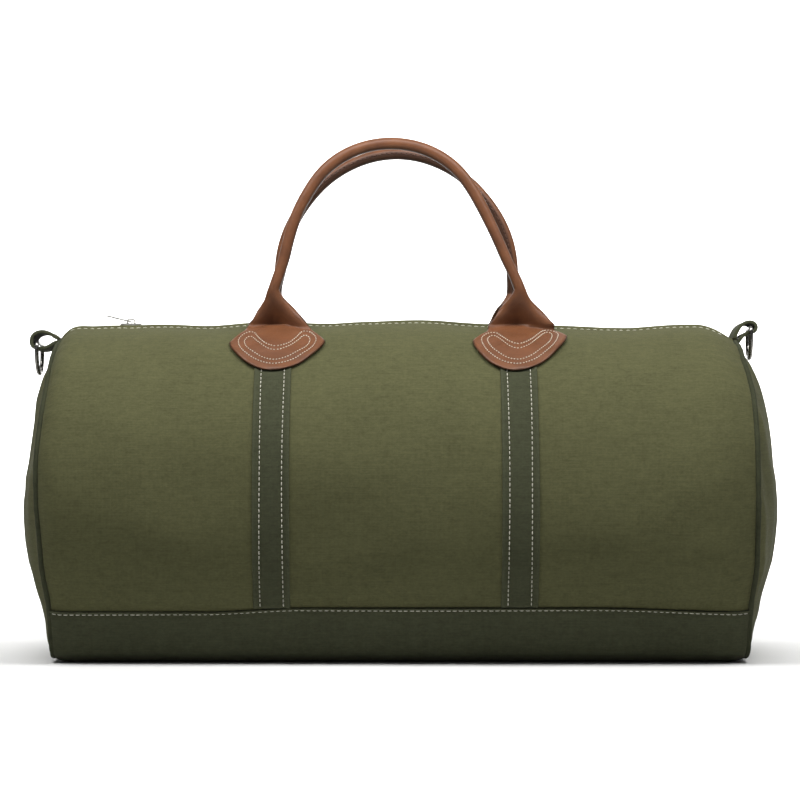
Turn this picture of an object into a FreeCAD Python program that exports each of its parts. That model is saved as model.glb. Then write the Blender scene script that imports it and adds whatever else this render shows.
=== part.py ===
"""Canvas duffel bag: a barrel of heavy canvas with a flat base, domed end panels, a zip along the
top, four sewn-on bands, two rolled leather handles on fan-shaped patches, and a D-ring in a canvas
tab at each end.

Millimetres. +X runs along the barrel, -Y is the front and +Z is up. The origin is on the floor,
under the middle of the bag.

The barrel's section is drawn in Y and Z from the top of the arch round the front to the middle of
the floor, as arcs and straights. A place on it is its distance s along that line, and an offset d
outward from the canvas's outer face. Every panel, band and tape is a stretch of that section.
Toward each end the barrel narrows to a smaller ring, where it is sewn to the end panel.
"""

import FreeCAD
import Part

import math
import os

Vec = FreeCAD.Vector

# Barrel
TOP_Z = 262.0
ARCH_R = 131.0
ARCH_END_DEG = 205.0  # direction of the outward normal where the arch meets the straight side
CANVAS_T = 1.2
LAYER_GAP = 0.1
BASE_Z = CANVAS_T + LAYER_GAP  # the section's floor, just above the base panel's underside
BASE_CORNER_R = 22.0
SEAM_X = 270.0  # the end seam, from the middle of the bag
TAPER_X = 254.0  # where the barrel starts to narrow
CANVAS_END_X = 267.5
END_DROP = 10.5  # how far it narrows on every side
LAP_Z = 40.0  # top edge of the base panel
LAP_DEPTH = 12.0  # how far the panels run down behind it

# Mouth
ZIP_SLOT = 9.0  # half the gap between the canvas edges at the zip
MOUTH_HINGE_S = ARCH_R * math.pi / 2  # the panels bend open at their widest point
HINGE_GAP = 1.0

# Zip
ZIP_Z = TOP_Z - 1.65
TAPE_T = 0.7
TAPE_IN = 3.0
TAPE_FOLD = 7.5  # inside this the tape bends as the slider parts it
TAPE_OUT = 16.0
TAPE_X = 245.0
TOOTH_PITCH = 4.0
TOOTH_W = 1.7
TOOTH_H = 2.6
TOOTH_TIP = 0.7  # how far a tooth reaches past the centre line
TEETH_FROM_X = -240.0
TEETH_TO_X = 232.0
STOP_L = 3.0
ZIP_END_X = 246.0

# Slider and pull
SLIDER_X = -215.0
SLIDER_L = 17.0
SLIDER_NOSE_W = 12.0
SLIDER_TAIL_W = 9.4
PLATE_T = 1.3
CHANNEL_H = 3.2
CHANNEL_W = 7.2
TAPE_SLOT = 1.4
POST_L = 4.5
POST_W = 1.5
BAIL_L = 7.0
BAIL_H = 3.6
BAIL_W = 1.9
PULL_L = 20.0
PULL_W = 6.6
PULL_T = 1.3
PULL_TILT_DEG = 14.0

# Bands
BAND_X = 93.0
BAND_W = 28.0
BAND_TOP_DEG = 33.0

# Leather
PATCH_X = 94.0
LEATHER_T = 2.0
PATCH_D = CANVAS_T + 3 * LAYER_GAP  # the patch lies over the band's upper end
CREASE_DEG = 18.5  # where the leather leaves the canvas, from the top of the arch
PATCH_MID_DEG = 31.0
HANDLE_Y = -43.0
HANDLE_PIVOT_Z = 260.8
TUBE_R = 5.0
TUBE_BORE_R = 3.4
CORE_R = 3.3
NECK_TOP_Z = 288.0
NECK_GAP = 0.5  # the tube's foot leans a little, so it stands this far above the neck
ARCH_TOP_Z = 402.6
HANDLE_TOP_R = 77.7
HANDLE_TOP_HALF_DEG = 51.7
HANDLE_SIDE_R = 156.3

# End panels, piping and binding
DOME_T = 1.3
DOME_RINGS = [(1.0, 122.0), (0.8, 117.0), (0.55, 114.0), (0.25, 112.0)]  # scale of the section, about this height
DOME_XS = [272.3, 280.0, 289.0, 295.0]
PIPING_R = 2.1
PIPING_CORD_R = 1.25
PIPING_BORE_R = 1.3
BINDING_W = 5.0
BINDING_T = 1.4

# Base board
BOARD_X = 250.0
BOARD_Y = 68.0
BOARD_T = 3.0

# D-rings and their tabs
TAB_ROOT_X = 272.0
TAB_ROOT_Z = 254.8
TAB_ROOT_R = 1.3
TAB_EYE_R = 3.5
TAB_W = 25.0
TAB_HOLE_R = 2.1
TABS = {"left": (18.0, -25.0), "right": (8.6, 31.7)}  # length to the ring, and slope in degrees
RING_WIRE_R = 1.75
RING_HALF_W = 15.75
RING_DEPTH = 24.0
RING_CORNER_R = 3.75


# ---- The section -------------------------------------------------------------------------------

def normal(angle):
    """The outward direction at that angle, as (y, z). 90 degrees is up, and 180 is to the front."""
    return math.cos(angle), math.sin(angle)


def section_runs():
    """The front half of the section: (start s, length, radius or None, start y, start z, angle)."""
    runs = []
    s, y, z = 0.0, 0.0, TOP_Z
    side = math.radians(ARCH_END_DEG)
    arch = (side - math.pi / 2) * ARCH_R
    end_z = TOP_Z - ARCH_R + ARCH_R * math.sin(side)
    end_y = ARCH_R * math.cos(side)
    corner_turn = 3 * math.pi / 2 - side
    corner_cut = BASE_CORNER_R * math.tan(corner_turn / 2)
    drop = (end_z - BASE_Z) / -math.cos(side)  # along the side to the floor, if it had no corner
    straight = drop - corner_cut
    corner = corner_turn * BASE_CORNER_R
    floor = -(end_y - drop * math.sin(side)) - corner_cut
    plan = [
        (arch, ARCH_R, math.pi / 2),
        (straight, None, side),
        (corner, BASE_CORNER_R, side),
        (floor, None, 3 * math.pi / 2),
    ]
    for length, radius, angle in plan:
        runs.append((s, length, radius, y, z, angle))
        y, z = place_on(runs[-1], length, 0.0)
        s += length
    return runs


def place_on(run, t, d):
    """The point at distance t along a run, d outside it, as (y, z)."""
    _, _, radius, y, z, angle = run
    ny, nz = normal(angle)
    if radius is None:
        return y - math.sin(angle) * t + ny * d, z + math.cos(angle) * t + nz * d
    turned_y, turned_z = normal(angle + t / radius)
    return (
        y - ny * radius + turned_y * (radius + d),
        z - nz * radius + turned_z * (radius + d),
    )


RUNS = section_runs()
HALF_GIRTH = RUNS[-1][0] + RUNS[-1][1]
LAP_S = RUNS[1][0] + (RUNS[1][4] - LAP_Z) / -math.cos(RUNS[1][5])


def edges_between(s0, s1, d, x):
    """The section's edges from s0 to s1 at offset d, in the plane at x."""
    edges = []
    for run in RUNS:
        t0 = max(s0 - run[0], 0.0)
        t1 = min(s1 - run[0], run[1])
        if t1 - t0 < 1e-6:
            continue
        a, m, b = (Vec(x, *place_on(run, t, d)) for t in (t0, (t0 + t1) / 2, t1))
        if run[2] is None:
            edges.append(Part.LineSegment(a, b).toShape())
        else:
            edges.append(Part.Arc(a, m, b).toShape())
    return edges


def place(s, d):
    """The point at distance s along the section, d outside it, as (y, z)."""
    run = [r for r in RUNS if r[0] <= s + 1e-9][-1]
    return place_on(run, s - run[0], d)


def outline(s0, s1, d0, d1, x):
    """A closed wire round the stretch s0 to s1, from offset d0 to d1, in the plane at x."""
    outer = edges_between(s0, s1, d1, x)
    inner = edges_between(s0, s1, d0, x)
    ends = [
        Part.LineSegment(Vec(x, *place(s, d0)), Vec(x, *place(s, d1))).toShape() for s in (s0, s1)
    ]
    return Part.Wire(Part.__sortEdges__(outer + inner + ends))


def loop(d, x, shrink=1.0, centre_z=0.0):
    """The whole section as a closed wire at offset d, shrunk toward a point on the bag's middle plane."""
    front = edges_between(0.0, HALF_GIRTH, d, x)
    back = [mirrored(e) for e in front]
    wire = Part.Wire(Part.__sortEdges__(front + back))
    wire.scale(shrink, Vec(x, 0, centre_z))
    return wire


def mirrored(shape):
    """The same shape on the back of the bag."""
    return shape.mirror(Vec(0, 0, 0), Vec(0, 1, 0))


def flipped(shape):
    """The same shape at the other end of the bag."""
    return shape.mirror(Vec(0, 0, 0), Vec(1, 0, 0))


def band(s0, s1, d0, d1, x0, x1):
    """A stretch of the section from x0 to x1."""
    return Part.Face(outline(s0, s1, d0, d1, x0)).extrude(Vec(x1 - x0, 0, 0))


def full_length(s0, s1, d0, d1):
    """A stretch of the section over the barrel's whole length, narrowing at both ends."""
    middle = band(s0, s1, d0, d1, -TAPER_X, TAPER_X)
    wide = outline(s0, s1, d0, d1, TAPER_X)
    narrow = outline(s0, s1, d0 - END_DROP, d1 - END_DROP, CANVAS_END_X)
    end = Part.makeLoft([wide, narrow], True, True)
    return middle.fuse([end, flipped(end)]).removeSplitter()


def both_halves(shape):
    return shape.fuse(mirrored(shape)).removeSplitter()


def box(x0, x1, y0, y1, z0, z1):
    return Part.makeBox(x1 - x0, y1 - y0, z1 - z0, Vec(x0, y0, z0))


def prism(points, direction):
    """A straight prism on a closed polygon."""
    return Part.Face(Part.makePolygon(points + points[:1])).extrude(direction)


# ---- Canvas ------------------------------------------------------------------------------------

def lower_panel():
    """The front panel from its widest point down to behind the base panel's edge."""
    return full_length(MOUTH_HINGE_S + HINGE_GAP, LAP_S + LAP_DEPTH, -CANVAS_T, 0.0)


def upper_panel():
    """The front panel from the zip to its widest point."""
    return full_length(ZIP_SLOT, MOUTH_HINGE_S - HINGE_GAP, -CANVAS_T, 0.0)


def base_panel():
    return both_halves(full_length(LAP_S, HALF_GIRTH, LAYER_GAP, LAYER_GAP + CANVAS_T))


def base_board():
    z = BASE_Z + LAYER_GAP
    return box(-BOARD_X, BOARD_X, -BOARD_Y, BOARD_Y, z, z + BOARD_T)


def end_panel():
    """A domed panel at the right end, sewn inside the piping."""
    d = -END_DROP - 1.0
    outside = [loop(d, x, k, z) for x, (k, z) in zip(DOME_XS, DOME_RINGS)]
    inside = [loop(d, x - DOME_T, k, z) for x, (k, z) in zip(DOME_XS, DOME_RINGS)]
    return Part.makeLoft(outside, True, True).cut(Part.makeLoft(inside, True, True))


def round_tube(radius):
    """A tube along the right end seam."""
    d = -END_DROP - 1.0
    path = loop(d, SEAM_X)
    start = Vec(SEAM_X, *place(0.0, d))
    ring = Part.Wire(Part.makeCircle(radius, start, Vec(0, 1, 0)))
    return path.makePipeShell([ring], True, False)


def binding():
    """The tape that binds the right end seam's raw edges, inside the bag."""
    d = -END_DROP - CANVAS_T - 0.2
    x = CANVAS_END_X + 0.2
    along = Vec(-BINDING_W, 0, 0)
    return Part.Face(loop(d, x)).extrude(along).cut(Part.Face(loop(d - BINDING_T, x)).extrude(along))


def zip_end():
    """The canvas patch that closes the slot at the right end of the zip."""
    s1 = ZIP_SLOT - 0.3
    flat = band(0.0, s1, -CANVAS_T, 0.0, ZIP_END_X, TAPER_X)
    wide = outline(0.0, s1, -CANVAS_T, 0.0, TAPER_X)
    narrow = outline(0.0, s1, -CANVAS_T - END_DROP, -END_DROP, CANVAS_END_X)
    return both_halves(flat.fuse(Part.makeLoft([wide, narrow], True, True)))


def upper_strip(x):
    """A sewn-on band, from under the leather patch to the panel's widest point."""
    s0 = math.radians(BAND_TOP_DEG) * ARCH_R
    s1 = MOUTH_HINGE_S - 1.5 * HINGE_GAP
    return band(s0, s1, LAYER_GAP, LAYER_GAP + CANVAS_T, x - BAND_W / 2, x + BAND_W / 2)


def lower_strip(x):
    """The rest of that band, down to the base panel's edge."""
    s0 = MOUTH_HINGE_S + 1.5 * HINGE_GAP
    return band(s0, LAP_S - 0.3, LAYER_GAP, LAYER_GAP + CANVAS_T, x - BAND_W / 2, x + BAND_W / 2)


# ---- Zip ---------------------------------------------------------------------------------------

def zip_tape(s0, s1):
    """The front tape between two distances from the centre line, under the canvas."""
    d = -CANVAS_T - LAYER_GAP
    return band(s0, s1, d - TAPE_T, d, -TAPE_X, TAPE_X)


def parted(x):
    """How far a tooth at x stands back from the centre line: the slider has closed the rest."""
    t = min(max((SLIDER_X + 4.0 - x) / 7.0, 0.0), 1.0)
    return 1.8 * t * t * (3 - 2 * t)


def zip_teeth(shift):
    """The front row of teeth, as a group of separate solids."""
    teeth = []
    x = TEETH_FROM_X + shift
    while x <= TEETH_TO_X:
        tip = TOOTH_TIP - parted(x)
        z0 = ZIP_Z - TOOTH_H / 2
        teeth.append(box(x - TOOTH_W / 2, x + TOOTH_W / 2, -TAPE_IN, tip, z0, z0 + TOOTH_H))
        x += TOOTH_PITCH
    return Part.makeCompound(teeth)


def top_stop():
    """The metal clip past the front row's last tooth, on the side the zip closes to."""
    x = TEETH_FROM_X - TOOTH_PITCH / 2
    h = TOOTH_H / 2 + 0.2
    return box(x - STOP_L / 2, x, -TAPE_IN, -0.6, ZIP_Z - h, ZIP_Z + h)


def bottom_stop():
    """The metal clip that joins both rows where the zip opens to."""
    x = TEETH_TO_X + TOOTH_PITCH
    h = TOOTH_H / 2 + 0.4
    w = TAPE_IN - 0.1
    return box(x, x + STOP_L, -w, w, ZIP_Z - h, ZIP_Z + h)


def slider_plan(half_nose, half_tail, z, x0, x1):
    """The slider's outline seen from above, with its wide nose toward -X."""
    chamfer = 3.0
    front = [
        (x0, half_nose - chamfer),
        (x0 + chamfer, half_nose),
        (x0 + chamfer + 4.0, half_nose),
        (x1 - 1.0, half_tail),
        (x1, half_tail - 1.0),
    ]
    points = [Vec(x, -y, z) for x, y in front] + [Vec(x, y, z) for x, y in reversed(front)]
    return points


def slider_body():
    """Two plates joined by the post that parts the teeth, with side walls and a bail on top."""
    x0, x1 = SLIDER_X - SLIDER_L / 2, SLIDER_X + SLIDER_L / 2
    half = CHANNEL_H / 2
    z0 = ZIP_Z - half - PLATE_T
    height = CHANNEL_H + 2 * PLATE_T
    plan = slider_plan(SLIDER_NOSE_W / 2, SLIDER_TAIL_W / 2, z0, x0, x1)
    body = prism(plan, Vec(0, 0, height))
    w = CHANNEL_W / 2
    body = body.cut(box(x0 - 1, x1 + 1, -w, w, ZIP_Z - half, ZIP_Z + half))
    slot = TAPE_SLOT / 2
    body = body.cut(box(x0 - 1, x1 + 1, -SLIDER_NOSE_W, SLIDER_NOSE_W, ZIP_Z - slot, ZIP_Z + slot))
    post = box(x0, x0 + POST_L, -POST_W / 2, POST_W / 2, ZIP_Z - half, ZIP_Z + half)
    top = ZIP_Z + half + PLATE_T
    bail = box(SLIDER_X - BAIL_L / 2, SLIDER_X + BAIL_L / 2, -BAIL_W / 2, BAIL_W / 2, top, top + BAIL_H)
    bail = bail.makeFillet(1.4, [e for e in bail.Edges if is_top_cross_edge(e, top + BAIL_H)])
    leg = 1.2
    inside = box(
        SLIDER_X - BAIL_L / 2 + leg, SLIDER_X + BAIL_L / 2 - leg, -BAIL_W, BAIL_W, top, top + BAIL_H - leg
    )
    return body.fuse([post, bail.cut(inside)]).removeSplitter()


def is_top_cross_edge(edge, z):
    """True for an edge along Y at height z."""
    a, b = (v.Point for v in edge.Vertexes)
    return abs(a.z - z) < 1e-6 and abs(b.z - z) < 1e-6 and abs(a.x - b.x) < 1e-6


PULL_PIVOT_Z = ZIP_Z + CHANNEL_H / 2 + PLATE_T + 1.2


def pull_tab():
    """The pull lies toward -X, tilted up, with its end bar through the bail."""
    half = PULL_T / 2
    plate = box(-PULL_L + 3.0, half, -PULL_W / 2, PULL_W / 2, -half, half)
    cap = Part.makeCylinder(PULL_W / 2, PULL_T, Vec(-PULL_L + 3.0, 0, -half))
    eye = box(-4.2, -half, -BAIL_W / 2 - 0.5, BAIL_W / 2 + 0.5, -half, half)
    hole = Part.makeCylinder(1.7, PULL_T, Vec(-PULL_L + 3.2, 0, -half))
    pull = plate.fuse(cap).removeSplitter().cut(eye).cut(hole)
    pull.rotate(Vec(0, 0, 0), Vec(0, 1, 0), PULL_TILT_DEG)
    pull.translate(Vec(SLIDER_X, 0, PULL_PIVOT_Z))
    return pull


# ---- Leather -----------------------------------------------------------------------------------

def patch(x):
    """A fan-shaped leather patch, curved to the canvas: a flat outline cut through a curved sheet."""
    mid = math.radians(90 + PATCH_MID_DEG)
    up = Vec(0, *normal(mid))
    along = Vec(0, -math.sin(mid), math.cos(mid))  # down the front
    s_mid = math.radians(PATCH_MID_DEG) * ARCH_R
    s_top = math.radians(CREASE_DEG) * ARCH_R
    origin = Vec(x, *place(s_mid, -20.0)) - along * (s_mid - s_top)

    def at(u, v):
        return origin + Vec(u, 0, 0) + along * v

    def line(a, b):
        return Part.LineSegment(at(*a), at(*b)).toShape()

    def arc(a, m, b):
        return Part.Arc(at(*a), at(*m), at(*b)).toShape()

    edges = [
        line((26.5, 0), (-26.5, 0)),
        line((-26.5, 0), (-36.6, 20)),
        arc((-36.6, 20), (-37.3, 25), (-34.6, 30)),
        line((-34.6, 30), (-14, 53.6)),
        arc((-14, 53.6), (0, 57.6), (14, 53.6)),
        line((14, 53.6), (34.6, 30)),
        arc((34.6, 30), (37.3, 25), (36.6, 20)),
        line((36.6, 20), (26.5, 0)),
    ]
    cutter = Part.Face(Part.Wire(edges)).extrude(up * 40)
    s0 = math.radians(CREASE_DEG - 6) * ARCH_R
    s1 = math.radians(CREASE_DEG + 36) * ARCH_R
    sheet = band(s0, s1, PATCH_D, PATCH_D + LEATHER_T, x - 50, x + 50)
    return sheet.common(cutter)


def handle_path():
    """The handle's centre line, leg to leg: a side arc, the top arc and the other side arc."""
    half = math.radians(HANDLE_TOP_HALF_DEG)
    top_z = ARCH_TOP_Z - HANDLE_TOP_R
    centre_x = HANDLE_TOP_R * math.sin(half) - HANDLE_SIDE_R * math.sin(half)
    centre_z = top_z + (HANDLE_TOP_R - HANDLE_SIDE_R) * math.cos(half)
    foot = math.acos((NECK_TOP_Z - centre_z) / HANDLE_SIDE_R)

    def side(angle, sign):
        x = centre_x + HANDLE_SIDE_R * math.sin(angle)
        return Vec(sign * x, HANDLE_Y, centre_z + HANDLE_SIDE_R * math.cos(angle))

    top = Vec(0, HANDLE_Y, ARCH_TOP_Z)
    middle = (half + foot) / 2
    arcs = [
        Part.Arc(side(foot, -1), side(middle, -1), side(half, -1)),
        Part.Arc(side(half, -1), top, side(half, 1)),
        Part.Arc(side(half, 1), side(middle, 1), side(foot, 1)),
    ]
    return Part.Wire([a.toShape() for a in arcs])


def handle_tube(radius):
    path = handle_path()
    first = path.Edges[0]
    start = first.valueAt(first.FirstParameter)
    ring = Part.Wire(Part.makeCircle(radius, start, first.tangentAt(first.FirstParameter)))
    return path.makePipeShell([ring], True, False)


def neck():
    """The leather between the right foot of the tube and the patch, opening from round to flat."""
    last = handle_path().Edges[-1]
    foot = last.valueAt(last.LastParameter)
    levels = [
        (HANDLE_PIVOT_Z + 0.8, 22.0, 1.4),
        (270.0, 15.0, 2.0),
        (281.0, 7.5, 4.0),
        (NECK_TOP_Z - NECK_GAP, TUBE_R + 0.01, TUBE_R),
    ]
    rings = []
    for z, half_w, half_t in levels:
        middle = Vec(foot.x, HANDLE_Y, z)
        ellipse = Part.Ellipse(middle + Vec(half_w, 0, 0), middle + Vec(0, half_t, 0), middle)
        rings.append(Part.Wire(ellipse.toShape()))
    return Part.makeLoft(rings, True, False)


# ---- D-rings -----------------------------------------------------------------------------------

def ring_place(side):
    """The ring's bar, as (x, z) for an end at +X."""
    length, slope = TABS[side]
    a = math.radians(slope)
    return TAB_ROOT_X + length * math.cos(a), TAB_ROOT_Z + length * math.sin(a)


def ring_tab(side):
    """A folded canvas tab with an eye for the ring's bar, at the +X end."""
    length, slope = TABS[side]
    y = TAB_W / 2
    wedge = prism(
        [
            Vec(0, -y, -TAB_ROOT_R),
            Vec(0, -y, TAB_ROOT_R),
            Vec(length, -y, TAB_EYE_R),
            Vec(length, -y, -TAB_EYE_R),
        ],
        Vec(0, TAB_W, 0),
    )
    across = Vec(0, 1, 0)
    root = Part.makeCylinder(TAB_ROOT_R, TAB_W, Vec(0, -y, 0), across)
    eye = Part.makeCylinder(TAB_EYE_R, TAB_W, Vec(length, -y, 0), across)
    hole = Part.makeCylinder(TAB_HOLE_R, TAB_W, Vec(length, -y, 0), across)
    tab = wedge.fuse([root, eye]).removeSplitter().cut(hole)
    tab.rotate(Vec(0, 0, 0), across, -slope)
    tab.translate(Vec(TAB_ROOT_X, 0, TAB_ROOT_Z))
    return tab


def d_ring(side):
    """A wire ring hanging from its straight bar, at the +X end."""
    w, c = RING_HALF_W, RING_CORNER_R
    low = -(RING_DEPTH - RING_HALF_W)
    k = c * (1 - math.sqrt(0.5))

    def line(a, b):
        return Part.LineSegment(Vec(0, *a), Vec(0, *b)).toShape()

    def arc(a, m, b):
        return Part.Arc(Vec(0, *a), Vec(0, *m), Vec(0, *b)).toShape()

    path = Part.Wire(
        [
            line((c - w, 0), (w - c, 0)),
            arc((w - c, 0), (w - k, -k), (w, -c)),
            line((w, -c), (w, low)),
            arc((w, low), (0, low - w), (-w, low)),
            line((-w, low), (-w, -c)),
            arc((-w, -c), (k - w, -k), (c - w, 0)),
        ]
    )
    start = Part.Wire(Part.makeCircle(RING_WIRE_R, Vec(0, c - w, 0), Vec(0, 1, 0)))
    ring = path.makePipeShell([start], True, False)
    x, z = ring_place(side)
    ring.translate(Vec(x, 0, z))
    return ring


# ---- Assembly ----------------------------------------------------------------------------------

def nodes():
    """Every piece, by name."""
    made = {
        "front_panel_lower": lower_panel(),
        "front_panel_upper": upper_panel(),
        "base_panel": base_panel(),
        "base_board": base_board(),
        "right_end_panel": end_panel(),
        "right_piping": round_tube(PIPING_R).cut(round_tube(PIPING_BORE_R)),
        "right_piping_cord": round_tube(PIPING_CORD_R),
        "right_seam_binding": binding(),
        "right_zip_end": zip_end(),
        "front_zip_tape": zip_tape(TAPE_FOLD + LAYER_GAP, TAPE_OUT),
        "front_zip_tape_edge": zip_tape(TAPE_IN + LAYER_GAP, TAPE_FOLD),
        "front_zip_teeth": zip_teeth(0.0),
        "front_zip_top_stop": top_stop(),
        "zip_bottom_stop": bottom_stop(),
        "zip_slider": slider_body(),
        "zip_pull": pull_tab(),
        "front_handle_tube": handle_tube(TUBE_R).cut(handle_tube(TUBE_BORE_R)),
        "front_right_neck": neck(),
        "front_handle_core": handle_tube(CORE_R),
    }
    for side, sign in (("left", -1), ("right", 1)):
        made[f"front_{side}_band_upper"] = upper_strip(sign * BAND_X)
        made[f"front_{side}_band_lower"] = lower_strip(sign * BAND_X)
        made[f"front_{side}_patch"] = patch(sign * PATCH_X)
        tab, ring = ring_tab(side), d_ring(side)
        made[f"{side}_ring_tab"] = flipped(tab) if side == "left" else tab
        made[f"{side}_d_ring"] = flipped(ring) if side == "left" else ring
    made["front_left_neck"] = flipped(made["front_right_neck"])
    for name in [n for n in made if n.startswith("front_")]:
        made[name.replace("front_", "back_", 1)] = mirrored(made[name])
    made["back_zip_teeth"] = mirrored(zip_teeth(TOOTH_PITCH / 2))
    for name in ("end_panel", "piping", "piping_cord", "seam_binding", "zip_end"):
        made[f"left_{name}"] = flipped(made[f"right_{name}"])
    return made


def main():
    os.makedirs("parts", exist_ok=True)
    made = nodes()
    for name, shape in sorted(made.items()):
        if not shape.isValid() or shape.Volume <= 0:
            print("PROBLEM", name, shape.isValid(), shape.Volume)
        shape.exportStep(f"parts/{name}.step")
    print(len(made), "nodes")
    print("ring bars", {side: ring_place(side) for side in TABS}, "lap s", round(LAP_S, 2))


main()
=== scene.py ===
import math

import bmesh
import bpy
import numpy as np
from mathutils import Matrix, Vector


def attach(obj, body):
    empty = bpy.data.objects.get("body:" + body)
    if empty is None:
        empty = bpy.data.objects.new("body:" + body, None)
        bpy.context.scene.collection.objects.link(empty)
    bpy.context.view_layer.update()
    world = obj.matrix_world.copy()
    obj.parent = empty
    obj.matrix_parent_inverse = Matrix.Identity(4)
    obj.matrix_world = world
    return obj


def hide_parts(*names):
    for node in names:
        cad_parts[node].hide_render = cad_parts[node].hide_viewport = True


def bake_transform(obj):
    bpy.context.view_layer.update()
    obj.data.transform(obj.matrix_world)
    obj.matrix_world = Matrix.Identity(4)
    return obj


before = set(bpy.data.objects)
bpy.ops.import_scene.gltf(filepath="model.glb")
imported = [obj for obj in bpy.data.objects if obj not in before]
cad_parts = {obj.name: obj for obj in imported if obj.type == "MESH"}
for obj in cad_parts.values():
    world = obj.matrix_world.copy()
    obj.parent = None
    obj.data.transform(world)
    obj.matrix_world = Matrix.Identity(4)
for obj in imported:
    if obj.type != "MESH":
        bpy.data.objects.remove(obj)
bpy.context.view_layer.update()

# A canvas duffel bag. Lengths here are millimetres unless a name says otherwise, and become metres
# when a mesh is made. A place on the canvas is (x, s, d): x along the barrel, s the distance round
# the section from the zip, positive to the front, and d the height above the canvas.

MM = 0.001
TAU = 2 * math.pi

# ---- Driving dimensions ----

ARCH_R = 131.0
ARCH_SIDE = math.radians(115)  # from the top of the arch to where the straight side starts
SIDE_L = 68.0
CORNER_R = 22.0
BASE_Z = 1.3
HALF_GIRTH = 425.9
LAP_S = 302.25  # the base panel's upper edge
LAP_STITCH = 2.2  # its stitches, below that edge
SEAM_X = 270.0
END_DROP = 11.5
CANVAS_T = 1.2
SEWN_TOP = 1.25  # the outer face of the base panel and the bands, over the panels
SEWN_T = 1.15
PANEL_UNDER = 12.0  # how far the panels run on behind the base panel's edge
END_T = 1.3
PIPING_R = 2.15
MID_Z = 119.0  # the middle of the end panels
ZIP_EDGE = 9.0
ZIP_STITCH = 8.0  # the stitches along the zip, from the canvas's edge

BANDS = {"left": -97.3, "right": 90.8}
BAND_W = 28.0
BAND_TOP_S = 76.0
BAND_ROWS = 17.3  # between the two rows of stitches
THREAD_R = 0.42

# Each fan's middle, how far it is askew, and how far its tips are pulled up.
PATCHES = {"left": (-95.2, -0.06, 0.0), "right": (93.2, -0.14, 5.5)}
LEATHER_T = 1.7
PATCH_D = 1.5  # the patch's underside, over the canvas and the band's end
HANDLE_Y = 43.0

TABS = {"left": (18.0, -25.0), "right": (8.6, 31.7)}
TAB_ROOT = (272.0, 254.8)
TAB_W = 25.0


# ---- Small tools ----

def smooth(t):
    t = np.clip(t, 0.0, 1.0)
    return t * t * (3 - 2 * t)


def unit(v):
    return v / np.maximum(np.linalg.norm(v, axis=-1, keepdims=True), 1e-9)


def hill(x, centre, width):
    return np.exp(-(((x - centre) / width) ** 2))


def steps(a, b, size):
    return np.linspace(a, b, max(2, int(round(abs(b - a) / size)) + 1))


def with_edges(values, rounding):
    """The values with more of them close to both ends, where an edge is rounded."""
    near = rounding * np.array([0.0, 0.15, 0.45, 1.0])
    low, high = values[0] + near, values[-1] - near[::-1]
    middle = values[(values > low[-1] + 0.3) & (values < high[0] - 0.3)]
    return np.concatenate([low, middle, high])


def rounded(values, rounding):
    """How far a sheet's face drops toward its two edges."""
    inward = np.minimum(values - values[0], values[-1] - values)
    t = np.clip(1 - inward / rounding, 0, 1)
    return rounding * (1 - np.sqrt(1 - t * t))


def lengths_along(path):
    """The distance from a path's first point to each of its points."""
    return np.concatenate([[0], np.cumsum(np.linalg.norm(np.diff(path, axis=0), axis=1))])


def at_lengths(path, length, t):
    """Points of a path at the distances t."""
    return np.stack([np.interp(t, length, path[:, i]) for i in range(path.shape[1])], -1)


def looked_up(table, i, j):
    """Values of a table between its rows and columns, at fractional indices i and j."""
    i0, j0 = i.astype(int), j.astype(int)
    u, v = i - i0, j - j0
    if table.ndim == 3:
        u, v = u[..., None], v[..., None]
    low = table[i0, j0] * (1 - v) + table[i0, j0 + 1] * v
    high = table[i0 + 1, j0] * (1 - v) + table[i0 + 1, j0 + 1] * v
    return low * (1 - u) + high * u


def soft_noise(u, v, seed, waves=14):
    """A smooth, repeatable field of about -1 to 1, made of random waves one unit long or more."""
    draw = np.random.default_rng(seed)
    total = np.zeros(np.broadcast(u, v).shape)
    for _ in range(waves):
        angle, phase, pitch = draw.uniform(0, TAU), draw.uniform(0, TAU), draw.uniform(0.35, 1.0)
        total = total + np.sin(TAU * pitch * (u * math.cos(angle) + v * math.sin(angle)) + phase)
    return total / math.sqrt(waves * 0.9)


# ---- Meshes ----

def make_object(name, points, faces, uv=None, marks=None, material=None):
    """A mesh object from points in millimetres, with UVs in millimetres and named point values."""
    mesh = bpy.data.meshes.new(name)
    mesh.from_pydata((np.asarray(points) * MM).tolist(), [], [tuple(f) for f in faces])
    mesh.validate()
    if uv is not None:
        layer = mesh.uv_layers.new(name="cloth_mm")
        corner = np.zeros(len(mesh.loops), np.int32)
        mesh.loops.foreach_get("vertex_index", corner)
        layer.data.foreach_set("uv", np.asarray(uv, np.float32)[corner].ravel())
    for key, values in (marks or {}).items():
        attribute = mesh.attributes.new(key, "FLOAT", "POINT")
        attribute.data.foreach_set("value", np.asarray(values, np.float32).ravel())
    work = bmesh.new()
    work.from_mesh(mesh)
    bmesh.ops.recalc_face_normals(work, faces=work.faces)
    work.to_mesh(mesh)
    work.free()
    mesh.shade_smooth()
    made = bpy.data.objects.new(name, mesh)
    bpy.context.scene.collection.objects.link(made)
    if material:
        mesh.materials.append(material)
    return made


def points_of(obj):
    co = np.zeros(len(obj.data.vertices) * 3, np.float32)
    obj.data.vertices.foreach_get("co", co)
    return co.reshape(-1, 3).astype(float) / MM


def grid_faces(rows, cols, start=0, wrap=False):
    i, j = np.meshgrid(np.arange(rows - 1), np.arange(cols if wrap else cols - 1), indexing="ij")
    k = (j + 1) % cols
    quads = np.stack([i * cols + j, (i + 1) * cols + j, (i + 1) * cols + k, i * cols + k], -1)
    return quads.reshape(-1, 4) + start


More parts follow.
